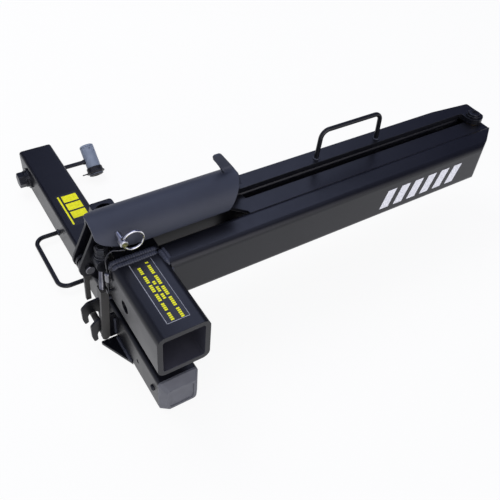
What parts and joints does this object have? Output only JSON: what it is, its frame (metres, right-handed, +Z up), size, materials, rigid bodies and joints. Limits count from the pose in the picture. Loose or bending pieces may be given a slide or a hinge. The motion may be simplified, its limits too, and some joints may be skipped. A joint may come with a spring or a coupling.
{
  "type": "swing away hitch",
  "caption": "Hitch adapter: a square shank and fixed beam carry a swinging beam with its own receiver, held shut by an over-centre lever with a draw link and a pull pin.",
  "frame": {"origin": "centre of the swinging receiver's opening at its front face", "axes": "+X along the beams towards the pivot, +Y towards the vehicle along the shank, +Z up"},
  "size_m": [0.6526, 0.505, 0.2225],
  "materials": {
    "powder_coat": "satin black powder coat",
    "black_oxide": "black zinc",
    "cap_plastic": "moulded grey plastic",
    "zinc_plate": "zinc plated steel",
    "bright_chrome": "bright plated wire",
    "bronze": "sintered bronze",
    "lock_enamel": "satin blue grey",
    "brass_core": "machined",
    "cap_rubber": "matt black"
  },
  "bodies": {
    "frame": {"stinger_tube": "powder_coat", "end_cap": "cap_plastic", "riser": "powder_coat", "fixed_beam": "powder_coat", "fixed_top_strap": "powder_coat", "fixed_bottom_strap": "powder_coat", "rear_brace": "powder_coat", "keeper_hook_front": "powder_coat", "keeper_hook_rear": "powder_coat", "hook_gusset": "powder_coat", "side_loop": "powder_coat", "carry_handle": "powder_coat", "pivot_bolt": "black_oxide", "pivot_washers": "black_oxide", "pivot_nut": "black_oxide", "hitch_bolt": "black_oxide", "hitch_washers": "black_oxide", "hitch_nut": "black_oxide"},
    "button": {"snap_button": "zinc_plate", "button_spring": "zinc_plate"},
    "swing_arm": {"receiver_tube": "powder_coat", "receiver_back_plate": "powder_coat", "swing_beam": "powder_coat", "swing_beam_end_plate": "powder_coat", "swing_top_strap": "powder_coat", "swing_bottom_strap": "powder_coat", "pivot_sleeve": "powder_coat", "pivot_bushes": "bronze", "latch_plate": "powder_coat", "lock_ear": "powder_coat", "latch_web": "powder_coat", "latch_ear_front": "powder_coat", "latch_ear_rear": "powder_coat", "latch_foot": "powder_coat", "lever_pivot_pin": "black_oxide", "lanyard_cable": "zinc_plate", "lanyard_ferrule": "zinc_plate", "lanyard_loop": "zinc_plate", "lanyard_post": "zinc_plate"},
    "lever": {"lever_handle": "powder_coat", "lever_cheek_front": "powder_coat", "lever_cheek_rear": "powder_coat", "finger_tab": "powder_coat"},
    "draw_link": {"trunnion": "zinc_plate", "draw_washers": "zinc_plate", "draw_bolt": "zinc_plate", "draw_bar": "powder_coat", "cross_pin": "black_oxide"},
    "pull_pin": {"detent_pin": "bright_chrome"},
    "pull_ring": {"pin_ring": "bright_chrome"},
    "lock": {"lock_body": "lock_enamel"},
    "key_core": {"lock_core": "brass_core"},
    "lock_cap": {"lock_dust_cap": "cap_rubber"}
  },
  "joints": [
    {"name": "arm_swing", "type": "hinge", "parent": "frame", "child": "swing_arm", "pos_m": [0.574, 0.149, 0], "axis": [0, 0, 1], "range_deg": [0, 110]},
    {"name": "lever_turn", "type": "hinge", "parent": "swing_arm", "child": "lever", "pos_m": [-0.045, 0.1585, 0.007], "axis": [0, -1, 0], "range_deg": [0, 90]},
    {"name": "link_turn", "type": "hinge", "parent": "lever", "child": "draw_link", "pos_m": [-0.0337, 0.138, 0.024], "axis": [0, -1, 0], "range_deg": [-80, 0]},
    {"name": "pin_pull", "type": "slide", "parent": "lever", "child": "pull_pin", "axis": [0, -1, 0], "range_m": [0, 0.035]},
    {"name": "ring_turn", "type": "hinge", "parent": "pull_pin", "child": "pull_ring", "pos_m": [-0.014, 0.117, 0.063], "axis": [-0.1736, 0, -0.9848], "range_deg": [0, 170]},
    {"name": "button_press", "type": "slide", "parent": "frame", "child": "button", "axis": [1, 0, 0], "range_m": [0, 0.005], "stiffness_N_per_m": 900},
    {"name": "lock_pull", "type": "slide", "parent": "frame", "child": "lock", "axis": [1, 0, 0], "range_m": [0, 0.02]},
    {"name": "key_turn", "type": "hinge", "parent": "lock", "child": "key_core", "pos_m": [0.077, 0.468, -0.0953], "axis": [0, -0.7559, -0.6547], "range_deg": [0, 90]},
    {"name": "cap_pull", "type": "slide", "parent": "lock", "child": "lock_cap", "axis": [0, -0.7559, -0.6547], "range_m": [0, 0.015]}
  ],
  "couplings": [
    {"joint": "link_turn", "follows": "lever_turn", "ratio": -0.866}
  ]
}
